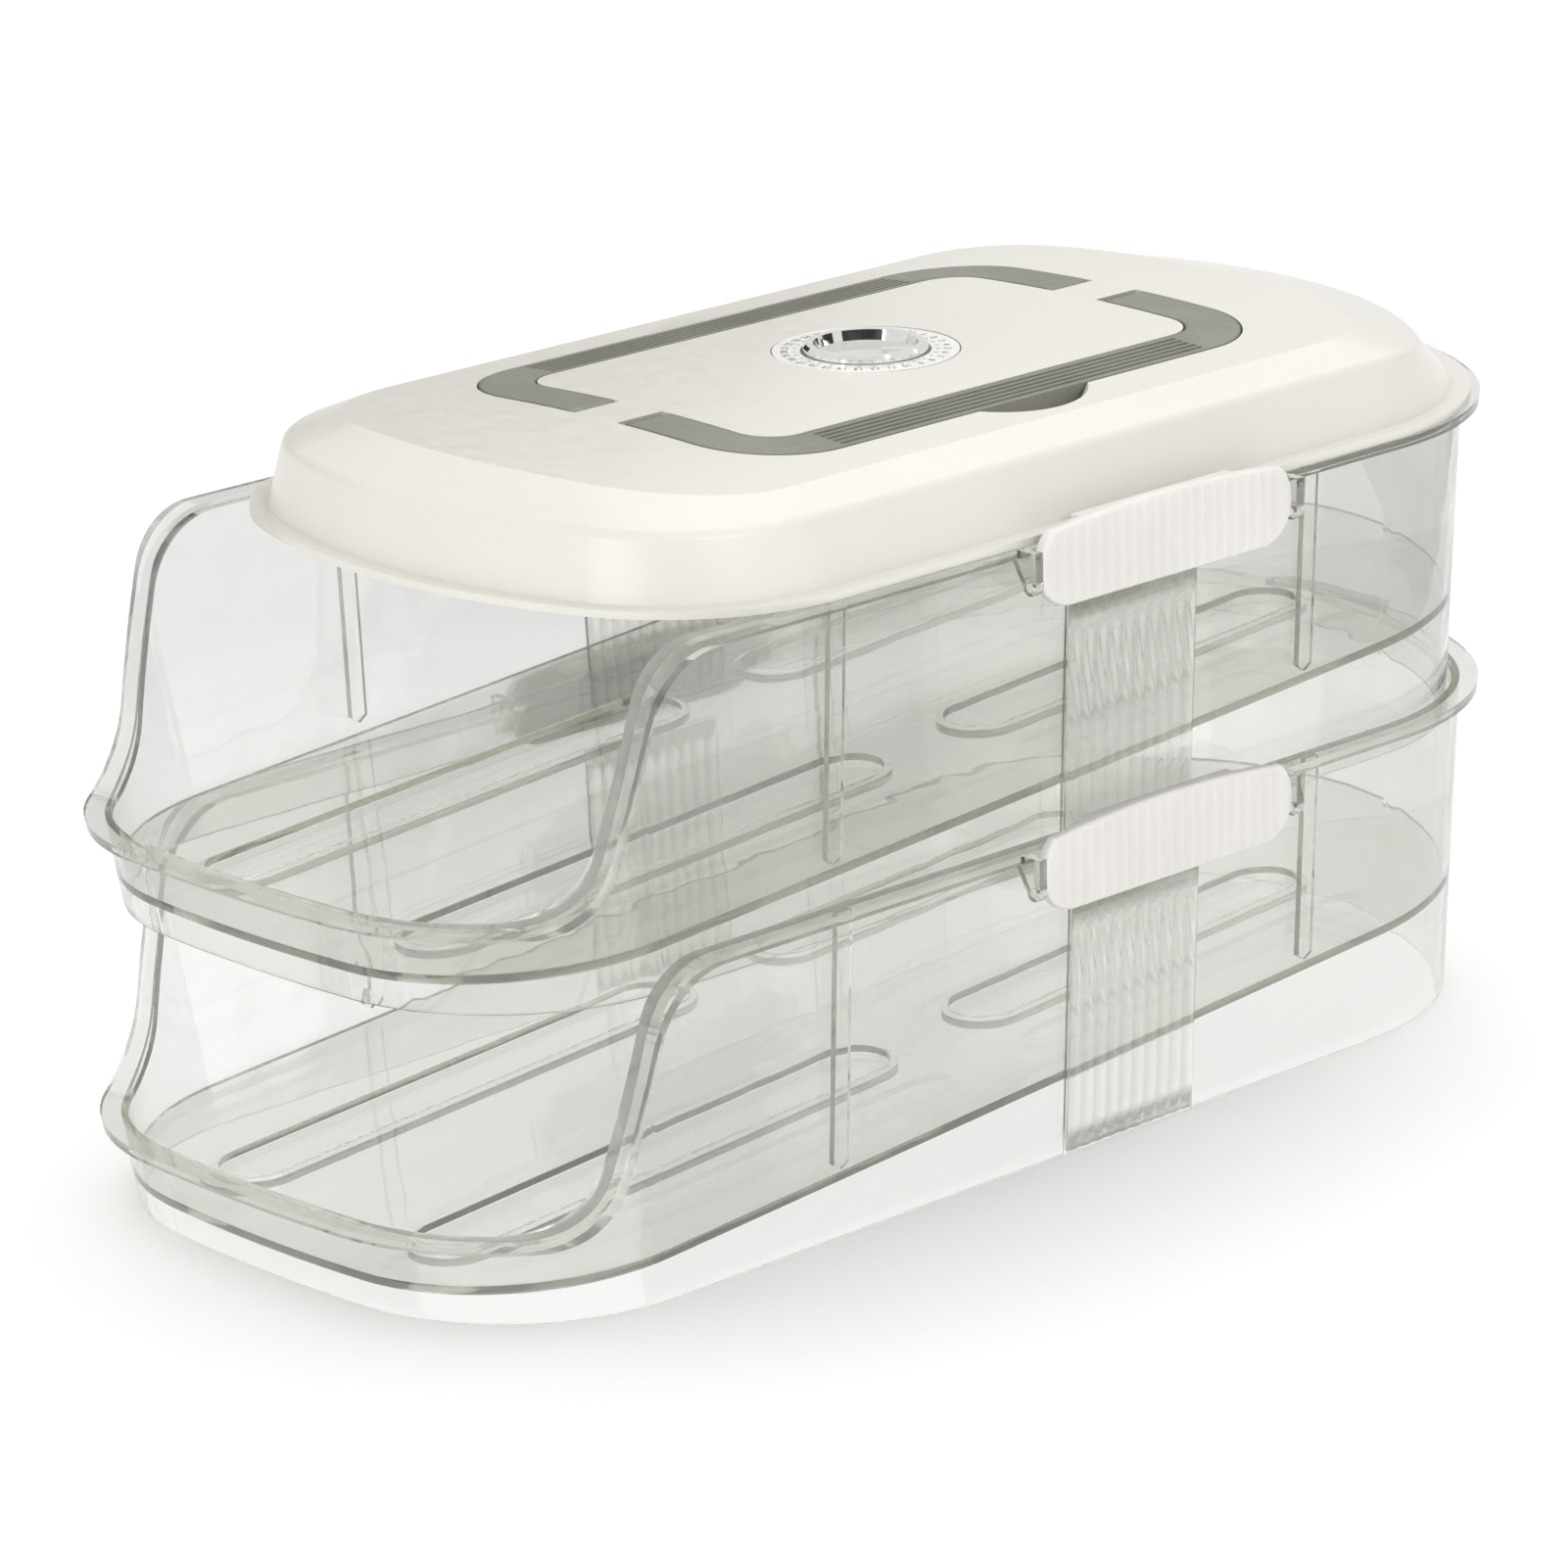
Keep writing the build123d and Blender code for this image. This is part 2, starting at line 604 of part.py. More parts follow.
def right_recess():
    """Space that the right bail and the fingers need in the lid."""
    with BuildPart() as recess:
        add(bail_layer(BAIL_CLEARANCE, -LID_RISE / 2, BAIL_THICKNESS + BAIL_CLEARANCE))
        add(notch(0))
        add(bail_barrels(pocket_radius, BAIL_CLEARANCE, BAIL_WIDTH + 2 * BAIL_CLEARANCE))
        bore_depth = BAIL_PIN_LENGTH + BAIL_CLEARANCE
        add(bail_barrels(BAIL_PIN_RADIUS + PIVOT_CLEARANCE, bore_depth, bore_depth + BAIL_WIDTH / 2))
    return recess.part


def right_tub():
    """Walls that close the right recess from below."""
    wall_reach = BAIL_CLEARANCE + CHANNEL_WALL
    boss_reach = BAIL_PIN_LENGTH + BAIL_CLEARANCE + CHANNEL_WALL
    with BuildPart() as tub:
        add(bail_layer(wall_reach, 0, BAIL_THICKNESS + wall_reach))
        add(notch(CHANNEL_WALL))
        add(bail_barrels(pocket_radius + CHANNEL_WALL, wall_reach, BAIL_WIDTH + 2 * wall_reach))
        add(bail_barrels(BAIL_PIN_RADIUS + CHANNEL_WALL, boss_reach, boss_reach + BAIL_WIDTH / 2))
        add(under_crown(LID_WALL / 2), mode=Mode.INTERSECT)
    return tub.part


def both_sides(shape):
    """The shape and its mirror image."""
    with BuildPart() as pair:
        add(shape)
        add(mirror(shape, about=Plane.YZ))
    return pair.part


def locating_rib():
    """Rib under the lid's rear half that drops inside the tray's wall."""
    outside = -WALL - LOCATING_RIB_GAP
    with BuildPart() as rib:
        add(tray_plan(lid_z - LOCATING_RIB_DEPTH, 1, outside))
        extrude(amount=LOCATING_RIB_DEPTH + LID_WALL)
        add(tray_plan(lid_z - LOCATING_RIB_DEPTH, 1, outside - LOCATING_RIB_WALL))
        extrude(amount=LOCATING_RIB_DEPTH + LID_WALL, mode=Mode.SUBTRACT)
        split(bisect_by=Plane.XZ.offset(-CLIP_Y), keep=Keep.BOTTOM)
    return rib.part


def make_lid():
    """Lid shell with its edge flange, two bail recesses and the seat of the date dial."""
    with BuildPart() as lid:
        add(lid_dome(lid_z + HELD_FLANGE_THICKNESS, 0))
        add(lid_outline(lid_z, 0))
        extrude(amount=HELD_FLANGE_THICKNESS)
        add(lid_dome(lid_z, LID_WALL), mode=Mode.SUBTRACT)
        add(locating_rib())
        add(both_sides(right_tub()))
        with Locations((0, DIAL_Y, seat_z - LID_WALL)):
            Cylinder(DIAL_RADIUS + LID_WALL, LID_WALL, align=(Align.CENTER, Align.CENTER, Align.MIN))
        add(both_sides(right_recess()), mode=Mode.SUBTRACT)
        with BuildSketch(Plane.XY.offset(seat_z)):
            with Locations((0, DIAL_Y)):
                Circle(DIAL_RADIUS + DIAL_CLEARANCE)
        extrude(amount=LID_RISE, mode=Mode.SUBTRACT)
        with Locations((0, DIAL_Y, seat_z)):
            Cylinder(STEM_RADIUS + STEM_CLEARANCE, LID_RISE, mode=Mode.SUBTRACT)
    return lid.part


def ring(z, outer_radius, inner_radius, height):
    """Flat ring on the dial's axis."""
    with BuildPart() as band:
        with BuildSketch(Plane.XY.offset(z)):
            with Locations((0, DIAL_Y)):
                Circle(outer_radius)
                Circle(inner_radius, mode=Mode.SUBTRACT)
        extrude(amount=height)
    return band.part


def make_knob():
    """Dished dial knob with a stem that passes through the lid."""
    top_z = knob_base_z + KNOB_HEIGHT
    groove_top_z = circlip_z + CIRCLIP_THICKNESS
    tip_z = circlip_z - STEM_TIP
    with BuildPart() as knob:
        with BuildSketch(Plane.XZ.offset(-DIAL_Y)):
            with BuildLine():
                Polyline(
                    (0, knob_dish_z),
                    (dish_floor_radius, knob_dish_z),
                    (dish_mouth_radius, top_z),
                    (KNOB_RADIUS - KNOB_RIM_ROUND, top_z),
                    (KNOB_RADIUS, top_z - KNOB_RIM_ROUND),
                    (KNOB_RADIUS, knob_base_z),
                    (STEM_RADIUS, knob_base_z),
                    (STEM_RADIUS, groove_top_z),
                    (groove_radius, groove_top_z),
                    (groove_radius, circlip_z),
                    (STEM_RADIUS, circlip_z),
                    (STEM_RADIUS, tip_z),
                    (0, tip_z),
                    close=True,
                )
            make_face()
        revolve(axis=Axis((0, DIAL_Y, 0), (0, 0, 1)))
    return knob.part


def make_circlip():
    """Open clip in the stem's groove, under the lid."""
    with BuildPart() as circlip:
        add(ring(circlip_z, CIRCLIP_RADIUS, groove_radius, CIRCLIP_THICKNESS))
        with BuildSketch(Plane.XY.offset(circlip_z)):
            with Locations((0, DIAL_Y + CIRCLIP_RADIUS)):
                Rectangle(CIRCLIP_MOUTH, 2 * CIRCLIP_RADIUS)
        extrude(amount=CIRCLIP_THICKNESS, mode=Mode.SUBTRACT)
    return circlip.part


def make_pointer():
    """Wedge on the knob's dish, widening towards the scale."""
    aim = (cos(radians(POINTER_ANGLE)), sin(radians(POINTER_ANGLE)), 0)
    floor = Plane(origin=(0, DIAL_Y, knob_dish_z), x_dir=aim)
    half = POINTER_WIDTH / 2
    end = sqrt(dish_floor_radius**2 - half**2)
    with BuildPart() as pointer:
        with BuildSketch(floor):
            with BuildLine():
                Polyline((POINTER_START, 0), (end, -half), (end, half), close=True)
            make_face()
        extrude(amount=POINTER_RISE)
    return pointer.part


# ---------------------------------------------------------------- the pieces
for tier, base_z in tiers.items():
    plain_tray = make_tray(stacked=base_z > 0)
    with BuildPart() as tray:
        add(plain_tray.moved(Location((0, 0, base_z))))
    tray.part.label = f"{tier}_tray"
    export_step(tray.part, f"parts/{tier}_tray.step")
    right_clip = make_clip(base_z + TRAY_HEIGHT)
    with BuildPart() as clip_right:
        add(right_clip)
    clip_right.part.label = f"clip_{tier}_right"
    export_step(clip_right.part, f"parts/clip_{tier}_right.step")
    with BuildPart() as clip_left:
        add(mirror(right_clip, about=Plane.YZ))
    clip_left.part.label = f"clip_{tier}_left"
    export_step(clip_left.part, f"parts/clip_{tier}_left.step")

with BuildPart() as lid:
    add(make_lid())
lid.part.label = "lid"
export_step(lid.part, "parts/lid.step")

right_bail = make_bail()
with BuildPart() as bail_right:
    add(right_bail)
bail_right.part.label = "bail_right"
export_step(bail_right.part, "parts/bail_right.step")

with BuildPart() as bail_left:
    add(mirror(right_bail, about=Plane.YZ))
bail_left.part.label = "bail_left"
export_step(bail_left.part, "parts/bail_left.step")

with BuildPart() as dial_scale_ring:
    add(ring(seat_z, DIAL_RADIUS, SCALE_INNER_RADIUS, SCALE_THICKNESS))
dial_scale_ring.part.label = "dial_scale_ring"
export_step(dial_scale_ring.part, "parts/dial_scale_ring.step")

with BuildPart() as dial_knob:
    add(make_knob())
dial_knob.part.label = "dial_knob"
export_step(dial_knob.part, "parts/dial_knob.step")

with BuildPart() as dial_pointer:
    add(make_pointer())
dial_pointer.part.label = "dial_pointer"
export_step(dial_pointer.part, "parts/dial_pointer.step")

with BuildPart() as dial_circlip:
    add(make_circlip())
dial_circlip.part.label = "dial_circlip"
export_step(dial_circlip.part, "parts/dial_circlip.step")
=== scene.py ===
"""Looks of the stacking egg keeper: plastics, fluted panels, dial print, stage and camera."""
import math

import bmesh
import bpy
from mathutils import Matrix, Vector


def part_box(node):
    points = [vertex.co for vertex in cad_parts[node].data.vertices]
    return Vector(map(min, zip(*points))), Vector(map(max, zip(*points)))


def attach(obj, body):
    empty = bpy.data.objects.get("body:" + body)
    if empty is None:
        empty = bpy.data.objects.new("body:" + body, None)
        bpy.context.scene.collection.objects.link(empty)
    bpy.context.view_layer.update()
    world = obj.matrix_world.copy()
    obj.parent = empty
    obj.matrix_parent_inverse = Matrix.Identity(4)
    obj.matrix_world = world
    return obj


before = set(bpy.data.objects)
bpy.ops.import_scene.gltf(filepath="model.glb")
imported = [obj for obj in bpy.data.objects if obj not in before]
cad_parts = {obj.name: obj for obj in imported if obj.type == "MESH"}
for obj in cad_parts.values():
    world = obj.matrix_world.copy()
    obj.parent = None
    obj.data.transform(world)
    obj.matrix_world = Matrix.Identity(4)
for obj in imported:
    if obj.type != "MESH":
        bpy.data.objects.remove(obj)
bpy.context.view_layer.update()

MM = 0.001
TIERS = ("lower", "upper")
SIDES = {"right": 1, "left": -1}

# ---------------------------------------------------------------- fluted panels
FLUTES = 10
FLUTE_STEPS = 12                 # faces across each flute
FLUTE_DEPTH = 0.32 * MM
PANEL_Y = 17.25 * MM
PANEL_WIDTH = 38.4 * MM
PANEL_FOOT = 1.0 * MM
PANEL_TOP = 56.0 * MM
PANEL_BACK = 0.06 * MM           # air between a panel and the wall
PANEL_SKIN = 0.25 * MM
PANEL_ROWS = 8                   # faces up each panel
PANEL_FOOT_X = 72.6 * MM         # pad's face at the foot of a tray
WALL_LEAN = 3.4 / 72.3           # outward lean of the side walls

# ---------------------------------------------------------------- dial
DIAL_CENTRE = Vector((0, 14.85 * MM, 0))
DAYS = 31
NUMERAL_RADIUS = 17.3 * MM
NUMERAL_SIZE = 2.3 * MM
TICK_RADIUS = 14.9 * MM
TICK_LENGTH = 0.9 * MM
TICK_WIDTH = 0.22 * MM
PRINT_RISE = 0.05 * MM

# ---------------------------------------------------------------- materials
NOISE_RANGE = (0.3, 0.7)              # part of a noise that is spread over a range of numbers
RAMP_RANGE = (0.35, 0.65)             # part of a noise that is spread over a range of colours
FACING_TINT = (0.992, 0.994, 0.985)   # of light straight through a face that is seen squarely
EDGE_TINT = (0.3, 0.32, 0.25)         # of light straight through a face that turns away
SHADOW_TINT = (0.978, 0.98, 0.966)
EDGE_BLEND = 0.42
EDGE_START = 0.74                     # how far a face has turned before it darkens
CLEAR_IOR = 1.5
SMOKE_COLOUR = (0.52, 0.57, 0.38)
SMOKE_DENSITY = 40
MILKY_IOR = 1.46
MILKY_DEPTH = 2.5 * MM                # that light spreads under the surface
BAIL_EDGE_RADIUS = 1.3 * MM

# ---------------------------------------------------------------- studio
WORLD_STRENGTH = 0.86            # as light; where it is seen it is white
STAGE_ROUGHNESS = 0.9
FLOOR_SIZE = 30
FLOOR_COLOUR = (0.95, 0.95, 0.95)
CARD_COLOUR = (0.02, 0.02, 0.02)
PAINTED_GLOW_SHARE = 0.9                 # share of painted light, the floor's own glow, where it is seen through plastic
PAINTED_GLOW_REACH = (0.16, 0.4)         # from the middle, over which that painted light falls off
# painted glow: how bright the floor shines at the middle and at the end of its reach
PAINTED_GLOW_STRENGTH = (1.04, 0.88)
RING_RADIUS = 1.95
RING_FOOT = 0.3
RING_TOP = 0.95
RING_STEPS = 12                  # faces in each arc
RING_ARCS = ((-180, -110), (-40, 54), (78, 120))   # degrees from the camera, to the right
SIDE_CARD_GAP = 0.36             # from the line of sight
SIDE_CARD_NEAR = -0.3
SIDE_CARD_FAR = 0.9
SIDE_CARD_TOP = 0.9

LAMPS = (                        # name, place, aim, size, power
    ("overhead", (-0.4, 1.1, 2.3), (0, 0.1, 0.08), 2.4, 25),
    ("side", (2.2, -0.6, 1.2), (0, 0, 0.08), 1.3, 14),
    ("front", (0.5, -2.3, 0.5), (0, 0, 0.1), 0.9, 12),
)

# ---------------------------------------------------------------- camera
AIM = Vector((0, 3.15, 65)) * MM
TURN = math.radians(46.578)
ELEVATION = math.radians(17.463)
ROLL = math.radians(-1.381)
SIDESTEP = 11.073 * MM
LIFT = -0.314 * MM
DISTANCE = 1497.85 * MM
FOCAL_PIXELS = 7110.1
IMAGE_PIXELS = 1601
SENSOR = 36.0
CLIP_END = 100


def node_tree(name):
    """New material, its node tree and its shader."""
    material = bpy.data.materials.new(name)
    material.use_nodes = True
    tree = material.node_tree
    return material, tree, tree.nodes["Principled BSDF"]


def noise(tree, scale, detail=3.0):
    """Object-space noise."""
    coords = tree.nodes.new("ShaderNodeTexCoord")
    texture = tree.nodes.new("ShaderNodeTexNoise")
    texture.inputs["Scale"].default_value = scale
    texture.inputs["Detail"].default_value = detail
    tree.links.new(coords.outputs["Object"], texture.inputs["Vector"])
    return texture.outputs["Fac"]


def spread(tree, fac, low, high):
    """Map a noise onto a range of numbers."""
    node = tree.nodes.new("ShaderNodeMapRange")
    node.inputs["From Min"].default_value = NOISE_RANGE[0]
    node.inputs["From Max"].default_value = NOISE_RANGE[1]
    node.inputs["To Min"].default_value = low
    node.inputs["To Max"].default_value = high
    tree.links.new(fac, node.inputs["Value"])
    return node.outputs["Result"]


def shade(tree, fac, low, high):
    """Map a noise onto a range of colours."""
    ramp = tree.nodes.new("ShaderNodeValToRGB")
    ramp.color_ramp.elements[0].position = RAMP_RANGE[0]
    ramp.color_ramp.elements[1].position = RAMP_RANGE[1]
    ramp.color_ramp.elements[0].color = (*low, 1)
    ramp.color_ramp.elements[1].color = (*high, 1)
    tree.links.new(fac, ramp.inputs["Fac"])
    return ramp.outputs["Color"]


def bump(tree, shader, height, strength, distance, edge_radius=0.0):
    """Fine relief on a shader, over edges that look rounded off."""
    node = tree.nodes.new("ShaderNodeBump")
    if edge_radius:
        rounded = tree.nodes.new("ShaderNodeBevel")
        rounded.inputs["Radius"].default_value = edge_radius
        tree.links.new(rounded.outputs["Normal"], node.inputs["Normal"])
    node.inputs["Strength"].default_value = strength
    node.inputs["Distance"].default_value = distance
    tree.links.new(height, node.inputs["Height"])
    tree.links.new(node.outputs["Normal"], shader.inputs["Normal"])


def surface(name, mottle_scale, dark, pale, grain_scale, smooth, rough):
    """New material with a mottled colour and an uneven roughness."""
    material, tree, shader = node_tree(name)
    colour = shade(tree, noise(tree, mottle_scale), dark, pale)
    roughness = spread(tree, noise(tree, grain_scale), smooth, rough)
    tree.links.new(colour, shader.inputs["Base Color"])
    tree.links.new(roughness, shader.inputs["Roughness"])
    return material, tree, shader


def blend(tree, fac, first, second):
    """Mix of two shaders, by a number or by a node's output."""
    mix = tree.nodes.new("ShaderNodeMixShader")
    if isinstance(fac, float):
        mix.inputs["Fac"].default_value = fac
    else:
        tree.links.new(fac, mix.inputs["Fac"])
    tree.links.new(first, mix.inputs[1])
    tree.links.new(second, mix.inputs[2])
    return mix.outputs["Shader"]


def thin_walled(tree, shader, straight):
    """Let a share of the rays go straight through, and let light into the shadows.

    What goes straight through is darker where the face turns away.
    """
    through = tree.nodes.new("ShaderNodeBsdfTransparent")
    turned = tree.nodes.new("ShaderNodeLayerWeight")
    turned.inputs["Blend"].default_value = EDGE_BLEND
    ramp = tree.nodes.new("ShaderNodeValToRGB")
    ramp.color_ramp.elements[0].position = EDGE_START
    ramp.color_ramp.elements[0].color = (*FACING_TINT, 1)
    ramp.color_ramp.elements[1].color = (*EDGE_TINT, 1)
    tree.links.new(turned.outputs["Facing"], ramp.inputs["Fac"])
    tree.links.new(ramp.outputs["Color"], through.inputs["Color"])
    seen = blend(tree, straight, shader.outputs["BSDF"], through.outputs["BSDF"])
    clear = tree.nodes.new("ShaderNodeBsdfTransparent")
    clear.inputs["Color"].default_value = (*SHADOW_TINT, 1)
    path = tree.nodes.new("ShaderNodeLightPath")
    whole = blend(tree, path.outputs["Is Shadow Ray"], seen, clear.outputs["BSDF"])
    tree.links.new(whole, tree.nodes["Material Output"].inputs["Surface"])


def clear_plastic(name, straight, relief):
    """Clear moulded plastic with a smoky grey-green cast and slightly uneven faces."""
    material, tree, shader = surface(
        name, 26, (0.984, 0.986, 0.976), (0.993, 0.994, 0.988), 60, 0.002, 0.012
    )
    shader.inputs["Transmission Weight"].default_value = 1.0
    shader.inputs["IOR"].default_value = CLEAR_IOR
    bump(tree, shader, noise(tree, 55, 1.0), relief, 1.0 * MM)
    thin_walled(tree, shader, straight)
    smoke = tree.nodes.new("ShaderNodeVolumeAbsorption")
    smoke.inputs["Color"].default_value = (*SMOKE_COLOUR, 1)
    smoke.inputs["Density"].default_value = SMOKE_DENSITY
    tree.links.new(smoke.outputs["Volume"], tree.nodes["Material Output"].inputs["Volume"])
    return material


def clip_plastic():
    """Milky white translucent plastic."""
    material, tree, shader = surface(
        "clip_plastic", 90, (0.72, 0.7, 0.67), (0.745, 0.725, 0.695), 120, 0.34, 0.42
    )
    shader.inputs["Transmission Weight"].default_value = 0.08
    shader.inputs["IOR"].default_value = MILKY_IOR
    shader.inputs["Subsurface Weight"].default_value = 0.5
    shader.inputs["Subsurface Radius"].default_value = (1, 1, 1)
    shader.inputs["Subsurface Scale"].default_value = MILKY_DEPTH
    bump(tree, shader, noise(tree, 300), 0.02, 0.1 * MM)
    return material


def lid_plastic():
    """Satin cream plastic with a very fine moulded texture."""
    material, tree, shader = surface(
        "lid_plastic", 14, (0.668, 0.648, 0.595), (0.69, 0.67, 0.617), 240, 0.3, 0.4
    )
    shader.inputs["Coat Weight"].default_value = 0.15
    shader.inputs["Coat Roughness"].default_value = 0.18
    bump(tree, shader, noise(tree, 1800), 0.10, 0.15 * MM)
    return material


def bail_plastic():
    """Matt grey-green plastic with a spark-eroded grain."""
    material, tree, shader = surface(
        "bail_plastic", 60, (0.185, 0.188, 0.152), (0.215, 0.218, 0.18), 700, 0.42, 0.56
    )
    bump(tree, shader, noise(tree, 2600), 0.2, 0.12 * MM, BAIL_EDGE_RADIUS)
    return material


def scale_plastic():
    """White plastic of the dial's scale."""
    material, tree, shader = surface(
        "scale_plastic", 200, (0.74, 0.735, 0.70), (0.79, 0.78, 0.75), 500, 0.22, 0.32
    )
    bump(tree, shader, noise(tree, 2200), 0.08, 0.1 * MM)
    return material


def print_ink():
    """Grey print of the numerals and ticks."""
    return surface("print_ink", 900, (0.16, 0.16, 0.145), (0.24, 0.24, 0.22), 1500, 0.45, 0.6)[0]


def chrome():
    """Bright plating with faint buffing marks."""
    material, tree, shader = surface(
        "chrome", 500, (0.84, 0.84, 0.82), (0.9, 0.9, 0.88), 1200, 0.03, 0.09
    )
    shader.inputs["Metallic"].default_value = 1.0
    bump(tree, shader, noise(tree, 3000), 0.03, 0.1 * MM)
    return material


def spring_steel():
    """Plain steel of the hidden clip ring."""
    material, tree, shader = surface(
        "spring_steel", 700, (0.42, 0.43, 0.44), (0.56, 0.57, 0.58), 1500, 0.25, 0.4
    )
    shader.inputs["Metallic"].default_value = 1.0
    return material


def dress(name, material):
    """Give a CAD node its material."""
    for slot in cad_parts[name].material_slots:
        slot.material = material


def add_mesh(name, mesh_data, material, body):
    """Put a finished bmesh into the scene as a piece that moves with a body."""
    mesh = bpy.data.meshes.new(name)
    bmesh.ops.recalc_face_normals(mesh_data, faces=mesh_data.faces)
    mesh_data.to_mesh(mesh)
    mesh_data.free()
    mesh.materials.append(material)
    piece = bpy.data.objects.new(name, mesh)
    bpy.context.collection.objects.link(piece)
    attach(piece, body)
    return piece


# ---------------------------------------------------------------- fluted panels
def flute_face_x(y):
    """How far a panel's face stands out at a place along the panel."""
    along = (y - PANEL_Y + PANEL_WIDTH / 2) / PANEL_WIDTH
    return PANEL_SKIN + FLUTE_DEPTH * abs(math.sin(math.pi * FLUTES * along))


def fluted_panel(tier, side_name):
    """Thin panel of upright flutes on a tray's side wall."""
    base_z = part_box(f"{tier}_tray")[0].z
    side = SIDES[side_name]
    columns = FLUTES * FLUTE_STEPS
    shape = bmesh.new()
    faces = []
    backs = []
    for row in range(PANEL_ROWS + 1):
        z = PANEL_FOOT + (PANEL_TOP - PANEL_FOOT) * row / PANEL_ROWS
        wall_x = PANEL_FOOT_X + WALL_LEAN * z + PANEL_BACK
        front_row = []
        back_row = []
        for column in range(columns + 1):
            y = PANEL_Y + PANEL_WIDTH * (column / columns - 0.5)
            front_row.append(shape.verts.new((side * (wall_x + flute_face_x(y)), y, base_z + z)))
            back_row.append(shape.verts.new((side * wall_x, y, base_z + z)))
        faces.append(front_row)
        backs.append(back_row)
    for row in range(PANEL_ROWS):
        for column in range(columns):
            for grid in (faces, backs):
                low, high = grid[row], grid[row + 1]
                shape.faces.new((low[column], low[column + 1], high[column + 1], high[column]))
        for column in (0, columns):
            face, face_above = faces[row][column], faces[row + 1][column]
            shape.faces.new((face, face_above, backs[row + 1][column], backs[row][column]))
    for row in (0, PANEL_ROWS):
        face, back = faces[row], backs[row]
        for column in range(columns):
            shape.faces.new((face[column], face[column + 1], back[column + 1], back[column]))
    name = f"flutes_{tier}_{side_name}"
    piece = add_mesh(name, shape, materials["flutes"], f"{tier}_tier")
    for polygon in piece.data.polygons:
        polygon.use_smooth = True


# ---------------------------------------------------------------- dial scale
def numeral(text, angle, z):
    """Mesh of a number on the scale, read from the middle of the dial."""
    curve = bpy.data.curves.new("numeral", "FONT")
    curve.body = text
    curve.size = NUMERAL_SIZE
    curve.align_x = "CENTER"
    curve.align_y = "CENTER"
    curve.extrude = PRINT_RISE
    letter = bpy.data.objects.new("numeral", curve)
    mesh = bpy.data.meshes.new_from_object(letter)
    outward = Vector((math.cos(angle), math.sin(angle), 0))
    place = DIAL_CENTRE + outward * NUMERAL_RADIUS + Vector((0, 0, z))
    mesh.transform(Matrix.Translation(place) @ Matrix.Rotation(angle - math.pi / 2, 4, "Z"))
    bpy.data.objects.remove(letter)
    bpy.data.curves.remove(curve)
    return mesh


def dial_print():
    """Numerals of the days and a tick for each, printed on the scale ring."""
    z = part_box("dial_scale_ring")[1].z
    shape = bmesh.new()
    for day in range(DAYS):
        angle = math.pi / 2 - 2 * math.pi * day / DAYS
        mesh = numeral(str(day + 1), angle, z)
        shape.from_mesh(mesh)
        bpy.data.meshes.remove(mesh)
        outward = Vector((math.cos(angle), math.sin(angle), 0))
        middle = DIAL_CENTRE + outward * (TICK_RADIUS + TICK_LENGTH / 2) + Vector((0, 0, z))
        size = Matrix.Diagonal((TICK_LENGTH, TICK_WIDTH, 2 * PRINT_RISE, 1))
        place = Matrix.Translation(middle) @ Matrix.Rotation(angle, 4, "Z") @ size
        bmesh.ops.create_cube(shape, size=1, matrix=place)
    add_mesh("dial_print", shape, materials["ink"], "lid_body")


# ---------------------------------------------------------------- stage
def stage_material(name, colour):
    """Plain matt surface."""
    material, tree, shader = node_tree(name)
    shader.inputs["Base Color"].default_value = (*colour, 1)
    shader.inputs["Roughness"].default_value = STAGE_ROUGHNESS
    return material, tree, shader


def floor_material():
    """Pale floor, which shows paler through the clear plastic: a painted pool of light glows
    there, brightest in the middle, over the object's shadow.
    """
    material, tree, shader = stage_material("floor", FLOOR_COLOUR)
    # painted light: where the floor is seen through plastic it glows, brightest in the middle
    painted_light = tree.nodes.new("ShaderNodeEmission")
    coords = tree.nodes.new("ShaderNodeTexCoord")
    distance = tree.nodes.new("ShaderNodeVectorMath")
    distance.operation = "LENGTH"
    fade = tree.nodes.new("ShaderNodeMapRange")
    fade.inputs["From Min"].default_value = PAINTED_GLOW_REACH[0]
    fade.inputs["From Max"].default_value = PAINTED_GLOW_REACH[1]
    fade.inputs["To Min"].default_value = PAINTED_GLOW_STRENGTH[0]
    fade.inputs["To Max"].default_value = PAINTED_GLOW_STRENGTH[1]
    tree.links.new(coords.outputs["Object"], distance.inputs[0])
    tree.links.new(distance.outputs["Value"], fade.inputs["Value"])
    tree.links.new(fade.outputs["Result"], painted_light.inputs["Strength"])
    path = tree.nodes.new("ShaderNodeLightPath")
    share = tree.nodes.new("ShaderNodeMath")
    share.operation = "MULTIPLY"
    share.inputs[1].default_value = PAINTED_GLOW_SHARE
    tree.links.new(path.outputs["Is Transmission Ray"], share.inputs[0])
    whole = blend(tree, share.outputs["Value"], shader.outputs["BSDF"], painted_light.outputs["Emission"])
    tree.links.new(whole, tree.nodes["Material Output"].inputs["Surface"])
    return material


def make_floor():
    """Large pale floor."""
    shape = bmesh.new()
    bmesh.ops.create_grid(shape, x_segments=1, y_segments=1, size=FLOOR_SIZE)
    mesh = bpy.data.meshes.new("floor")
    shape.to_mesh(mesh)
    shape.free()
    mesh.materials.append(floor_material())
    floor = bpy.data.objects.new("floor", mesh)
    bpy.context.collection.objects.link(floor)


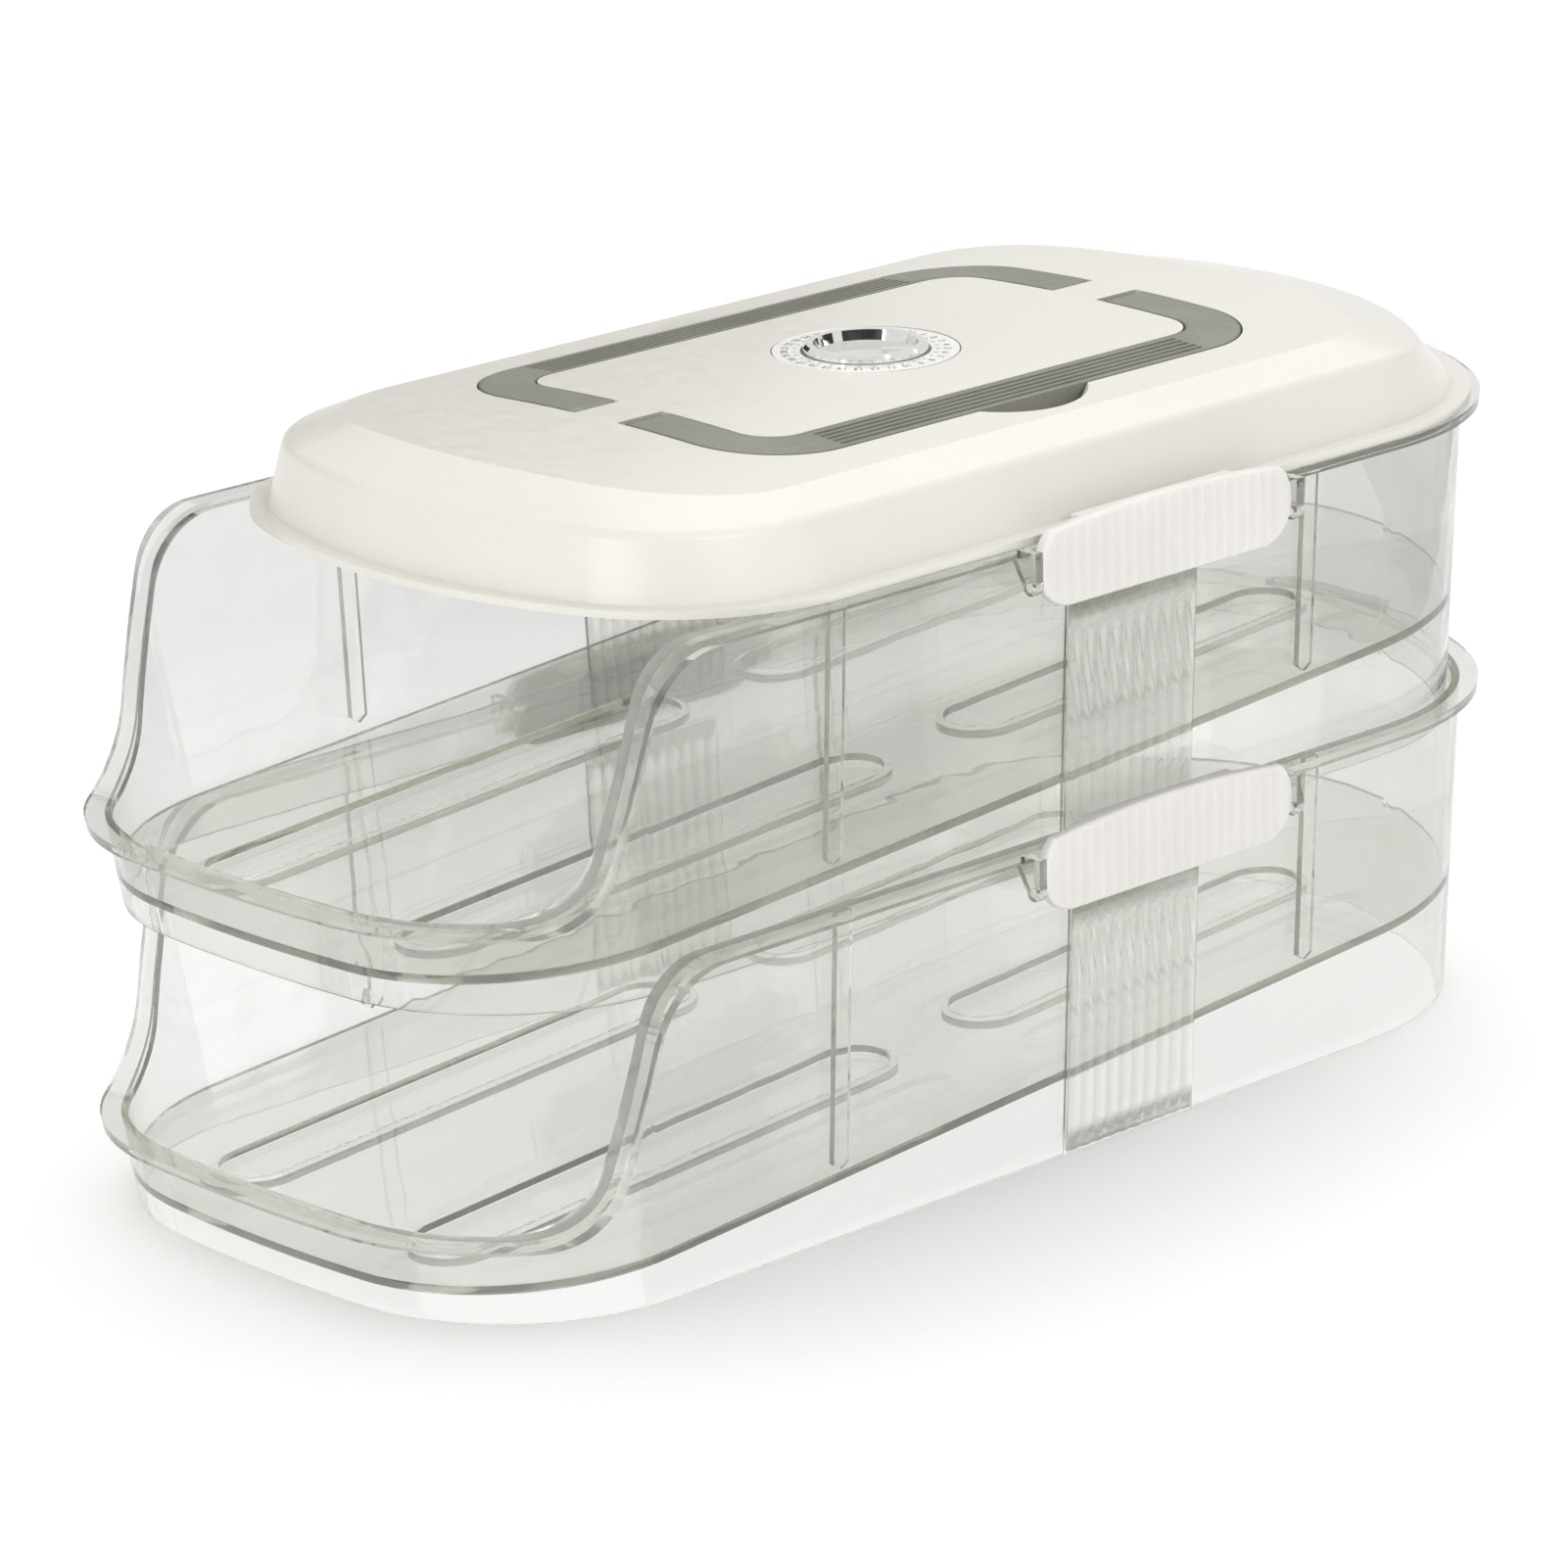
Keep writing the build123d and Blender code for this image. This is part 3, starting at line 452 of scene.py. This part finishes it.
def dark_card(name, strips, seen_by):
    """Dark upright card of strips, each a row of points in plan, a foot and a top."""
    shape = bmesh.new()
    for points, foot, top in strips:
        rows = [[shape.verts.new((x, y, z)) for x, y in points] for z in (foot, top)]
        for low, low_next, high, high_next in zip(rows[0], rows[0][1:], rows[1], rows[1][1:]):
            shape.faces.new((low, low_next, high_next, high))
    mesh = bpy.data.meshes.new(name)
    shape.to_mesh(mesh)
    shape.free()
    mesh.materials.append(stage_material(name, CARD_COLOUR)[0])
    card = bpy.data.objects.new(name, mesh)
    card.visible_camera = False
    card.visible_diffuse = False
    card.visible_shadow = False
    card.visible_glossy = seen_by == "glossy"
    card.visible_transmission = seen_by == "transmission"
    bpy.context.collection.objects.link(card)


def make_dark_cards():
    """Broken ring that the plating mirrors, and two cards that darken the plastic's edges."""
    ring = []
    for start, end in RING_ARCS:
        degrees = [start + (end - start) * step / RING_STEPS for step in range(RING_STEPS + 1)]
        turns = [TURN + math.radians(degree) for degree in degrees]
        points = [(RING_RADIUS * math.sin(turn), -RING_RADIUS * math.cos(turn)) for turn in turns]
        ring.append((points, RING_FOOT, RING_TOP))
    dark_card("dark_ring", ring, "glossy")
    right = Vector((math.cos(TURN), math.sin(TURN)))
    away = Vector((-math.sin(TURN), math.cos(TURN)))
    sides = []
    for side in (1, -1):
        beside = side * SIDE_CARD_GAP * right
        ends = (beside + SIDE_CARD_NEAR * away, beside + SIDE_CARD_FAR * away)
        sides.append((ends, 0.0, SIDE_CARD_TOP))
    dark_card("dark_sides", sides, "transmission")


def area_light(name, place, aim, size, power):
    """Square soft lamp."""
    data = bpy.data.lights.new(name, "AREA")
    data.size = size
    data.energy = power
    lamp = bpy.data.objects.new(name, data)
    lamp.location = place
    lamp.rotation_euler = (Vector(aim) - Vector(place)).to_track_quat("-Z", "Y").to_euler()
    bpy.context.collection.objects.link(lamp)


def make_world():
    """Even white surroundings, which light the object less brightly than they are seen."""
    world = bpy.data.worlds.new("studio")
    world.use_nodes = True
    background = world.node_tree.nodes["Background"]
    background.inputs["Color"].default_value = (1, 1, 1, 1)
    background.inputs["Strength"].default_value = WORLD_STRENGTH
    tree = world.node_tree
    path = tree.nodes.new("ShaderNodeLightPath")
    seen = tree.nodes.new("ShaderNodeMath")
    seen.operation = "MAXIMUM"
    either = tree.nodes.new("ShaderNodeMath")
    either.operation = "MAXIMUM"
    white = tree.nodes.new("ShaderNodeBackground")
    white.inputs["Strength"].default_value = 1.0
    tree.links.new(path.outputs["Is Camera Ray"], seen.inputs[0])
    tree.links.new(path.outputs["Is Glossy Ray"], seen.inputs[1])
    tree.links.new(seen.outputs["Value"], either.inputs[0])
    tree.links.new(path.outputs["Is Transmission Ray"], either.inputs[1])
    lighting, backdrop = background.outputs["Background"], white.outputs["Background"]
    whole = blend(tree, either.outputs["Value"], lighting, backdrop)
    tree.links.new(whole, tree.nodes["World Output"].inputs["Surface"])
    bpy.context.scene.world = world


def make_camera():
    """Camera at the angle the keeper is usually shown from."""
    flat = math.cos(ELEVATION)
    back = Vector((math.sin(TURN) * flat, -math.cos(TURN) * flat, math.sin(ELEVATION)))
    level = Vector((math.cos(TURN), math.sin(TURN), 0))
    up = back.cross(level)
    right = math.cos(ROLL) * level + math.sin(ROLL) * up
    above = math.cos(ROLL) * up - math.sin(ROLL) * level
    data = bpy.data.cameras.new("camera")
    data.sensor_width = SENSOR
    data.lens = FOCAL_PIXELS * SENSOR / IMAGE_PIXELS
    data.clip_end = CLIP_END
    camera = bpy.data.objects.new("camera", data)
    turn = Matrix((right, above, back)).transposed().to_4x4()
    place = AIM - SIDESTEP * right - LIFT * above + DISTANCE * back
    camera.matrix_world = Matrix.Translation(place) @ turn
    bpy.context.collection.objects.link(camera)
    bpy.context.scene.camera = camera


materials = {
    "clear": clear_plastic("clear_plastic", 0.15, 0.1),
    "flutes": clear_plastic("fluted_plastic", 0.35, 0.02),
    "clip": clip_plastic(),
    "lid": lid_plastic(),
    "bail": bail_plastic(),
    "scale": scale_plastic(),
    "ink": print_ink(),
    "chrome": chrome(),
    "steel": spring_steel(),
}
for tier in TIERS:
    dress(f"{tier}_tray", materials["clear"])
    for side in SIDES:
        dress(f"clip_{tier}_{side}", materials["clip"])
        fluted_panel(tier, side)
for side in SIDES:
    dress(f"bail_{side}", materials["bail"])
dress("lid", materials["lid"])
dress("dial_scale_ring", materials["scale"])
dress("dial_knob", materials["chrome"])
dress("dial_pointer", materials["chrome"])
dress("dial_circlip", materials["steel"])
dial_print()

make_floor()
make_dark_cards()
make_world()
for lamp in LAMPS:
    area_light(*lamp)
make_camera()
bpy.context.scene.view_settings.view_transform = "Standard"
